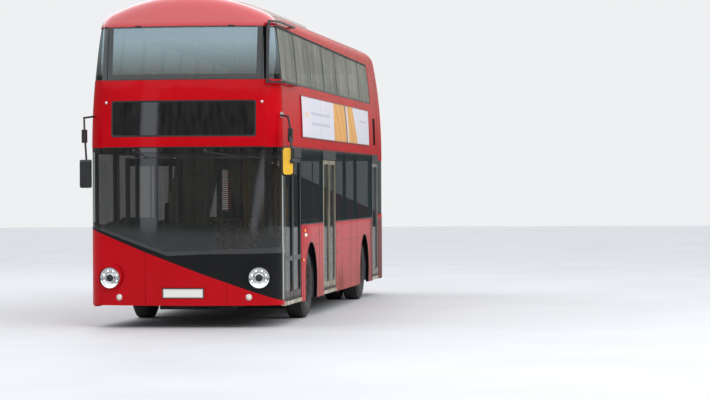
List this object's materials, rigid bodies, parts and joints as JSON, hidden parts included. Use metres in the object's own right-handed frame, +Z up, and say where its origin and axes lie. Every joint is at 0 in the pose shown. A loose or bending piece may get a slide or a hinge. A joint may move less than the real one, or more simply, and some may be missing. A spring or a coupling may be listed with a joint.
{
  "type": "double decker bus",
  "caption": "Red low-floor double decker bus with an asymmetric glazed front, passenger doors along the nearside, staircases, steered front wheels and twin rear wheels.",
  "frame": {"origin": "on the ground under the centre of the body's box", "axes": "+Z up, -Y towards the front of the bus, +X towards the nearside with the doors"},
  "size_m": [2.771, 11.29, 4.39],
  "materials": {
    "red_paint": "gloss red body paint",
    "black_panel": "gloss black moulded panel",
    "white_paint": "white roof paint",
    "dark_glass": "dark tinted bonded glass",
    "door_frame": "satin black door frame",
    "post_black": "satin black window posts",
    "floor_cover": "dark speckled vinyl floor",
    "chassis_paint": "chassis black",
    "axle_metal": "painted castings",
    "rim_paint": "dark grey wheel paint",
    "tyre": "black tyre rubber",
    "step_metal": "ribbed silver step edge",
    "board": null,
    "lamp": "clear lamp with bright surround",
    "tail_lamp": "red lamp lens",
    "display": "blank black display",
    "trim_black": "black moulded trim",
    "cab_plastic": "grey cab moulding",
    "seat_fabric": "patterned wool moquette",
    "engine": "plain engine mass",
    "wheel_box": "dark moulded wheel box",
    "stair_panel": "dark stair moulding",
    "handrail": "yellow textured handrail"
  },
  "bodies": {
    "body": {"advert_boards": "board", "battery_box": "engine", "branch_guard": "trim_black", "cab_console": "cab_plastic", "chassis_frame": "chassis_paint", "destination_display": "display", "driver_seat": "seat_fabric", "engine_block": "engine", "front_axle": "axle_metal", "front_band": "red_paint", "front_black_panel": "black_panel", "front_lamps": "lamp", "front_red_panel": "red_paint", "handrails": "handrail", "lower_floor": "floor_cover", "lower_side_glass": "dark_glass", "lower_windscreen": "dark_glass", "mirrors": "trim_black", "nearside_mid_panel": "red_paint", "nearside_skirt": "red_paint", "offside_mid_panel": "red_paint", "offside_skirt": "red_paint", "rear_axle": "axle_metal", "rear_glass": "dark_glass", "rear_panel": "red_paint", "roof_cowl": "white_paint", "roof_shell": "red_paint", "seats": "seat_fabric", "stair_window_glass": "dark_glass", "staircases": "stair_panel", "step_plates": "step_metal", "tail_lamps": "tail_lamp", "upper_floor": "floor_cover", "upper_side_glass": "dark_glass", "upper_windscreen": "dark_glass", "wheel_boxes": "wheel_box", "window_posts": "post_black", "wipers": "trim_black"},
    "left_steer": {"left_knuckle": "axle_metal"},
    "right_steer": {"right_knuckle": "axle_metal"},
    "front_left_wheel": {"front_left_rim": "rim_paint", "front_left_tyre": "tyre"},
    "front_right_wheel": {"front_right_rim": "rim_paint", "front_right_tyre": "tyre"},
    "rear_left_wheel": {"rear_left_rim": "rim_paint", "rear_left_tyres": "tyre"},
    "rear_right_wheel": {"rear_right_rim": "rim_paint", "rear_right_tyres": "tyre"},
    "front_door_front": {"front_door_front_leaf": "door_frame", "front_door_front_glass": "dark_glass"},
    "front_door_rear": {"front_door_rear_leaf": "door_frame", "front_door_rear_glass": "dark_glass"},
    "middle_door_front": {"middle_door_front_leaf": "door_frame", "middle_door_front_glass": "dark_glass"},
    "middle_door_rear": {"middle_door_rear_leaf": "door_frame", "middle_door_rear_glass": "dark_glass"},
    "rear_door": {"rear_door_leaf": "door_frame", "rear_door_glass": "dark_glass"},
    "steering": {"steering_wheel": "trim_black"}
  },
  "joints": [
    {"name": "left_steering", "type": "hinge", "parent": "body", "child": "left_steer", "pos_m": [0.94, -2.805, 0.479], "axis": [0, 0, 1], "range_deg": [-42, 42]},
    {"name": "front_left_spin", "type": "hinge", "parent": "left_steer", "child": "front_left_wheel", "pos_m": [1.07, -2.80568, 0.479], "axis": [1, -0.0052, 0], "continuous": true},
    {"name": "rear_left_spin", "type": "hinge", "parent": "body", "child": "rear_left_wheel", "pos_m": [1.07, 3.125, 0.479], "axis": [1, 0, 0], "continuous": true},
    {"name": "right_steering", "type": "hinge", "parent": "body", "child": "right_steer", "pos_m": [-0.94, -2.805, 0.479], "axis": [0, 0, 1], "range_deg": [-42, 42]},
    {"name": "front_right_spin", "type": "hinge", "parent": "right_steer", "child": "front_right_wheel", "pos_m": [-1.07, -2.80568, 0.479], "axis": [1, 0.0052, 0], "continuous": true},
    {"name": "rear_right_spin", "type": "hinge", "parent": "body", "child": "rear_right_wheel", "pos_m": [-1.07, 3.125, 0.479], "axis": [1, 0, 0], "continuous": true},
    {"name": "front_door_front_hinge", "type": "hinge", "parent": "body", "child": "front_door_front", "pos_m": [1.235, -5.145, 0.33], "axis": [0, 0, 1], "range_deg": [0, 88]},
    {"name": "front_door_rear_hinge", "type": "hinge", "parent": "body", "child": "front_door_rear", "pos_m": [1.235, -3.751, 0.33], "axis": [0, 0, -1], "range_deg": [0, 88]},
    {"name": "middle_door_front_hinge", "type": "hinge", "parent": "body", "child": "middle_door_front", "pos_m": [1.235, -1.552, 0.33], "axis": [0, 0, 1], "range_deg": [0, 88]},
    {"name": "middle_door_rear_hinge", "type": "hinge", "parent": "body", "child": "middle_door_rear", "pos_m": [1.235, -0.282, 0.33], "axis": [0, 0, -1], "range_deg": [0, 88]},
    {"name": "rear_door_hinge", "type": "hinge", "parent": "body", "child": "rear_door", "pos_m": [1.235, 4.965, 0.33], "axis": [0, 0, -1], "range_deg": [0, 88]},
    {"name": "steering_wheel_turn", "type": "hinge", "parent": "body", "child": "steering", "pos_m": [-0.7, -4.715, 1.15], "axis": [0, 0.5, 0.866], "range_deg": [-680, 680]}
  ],
  "couplings": [
    {"joint": "right_steering", "follows": "left_steering", "ratio": 1},
    {"joint": "front_door_rear_hinge", "follows": "front_door_front_hinge", "ratio": 1},
    {"joint": "middle_door_rear_hinge", "follows": "middle_door_front_hinge", "ratio": 1},
    {"joint": "steering_wheel_turn", "follows": "left_steering", "ratio": 16}
  ]
}
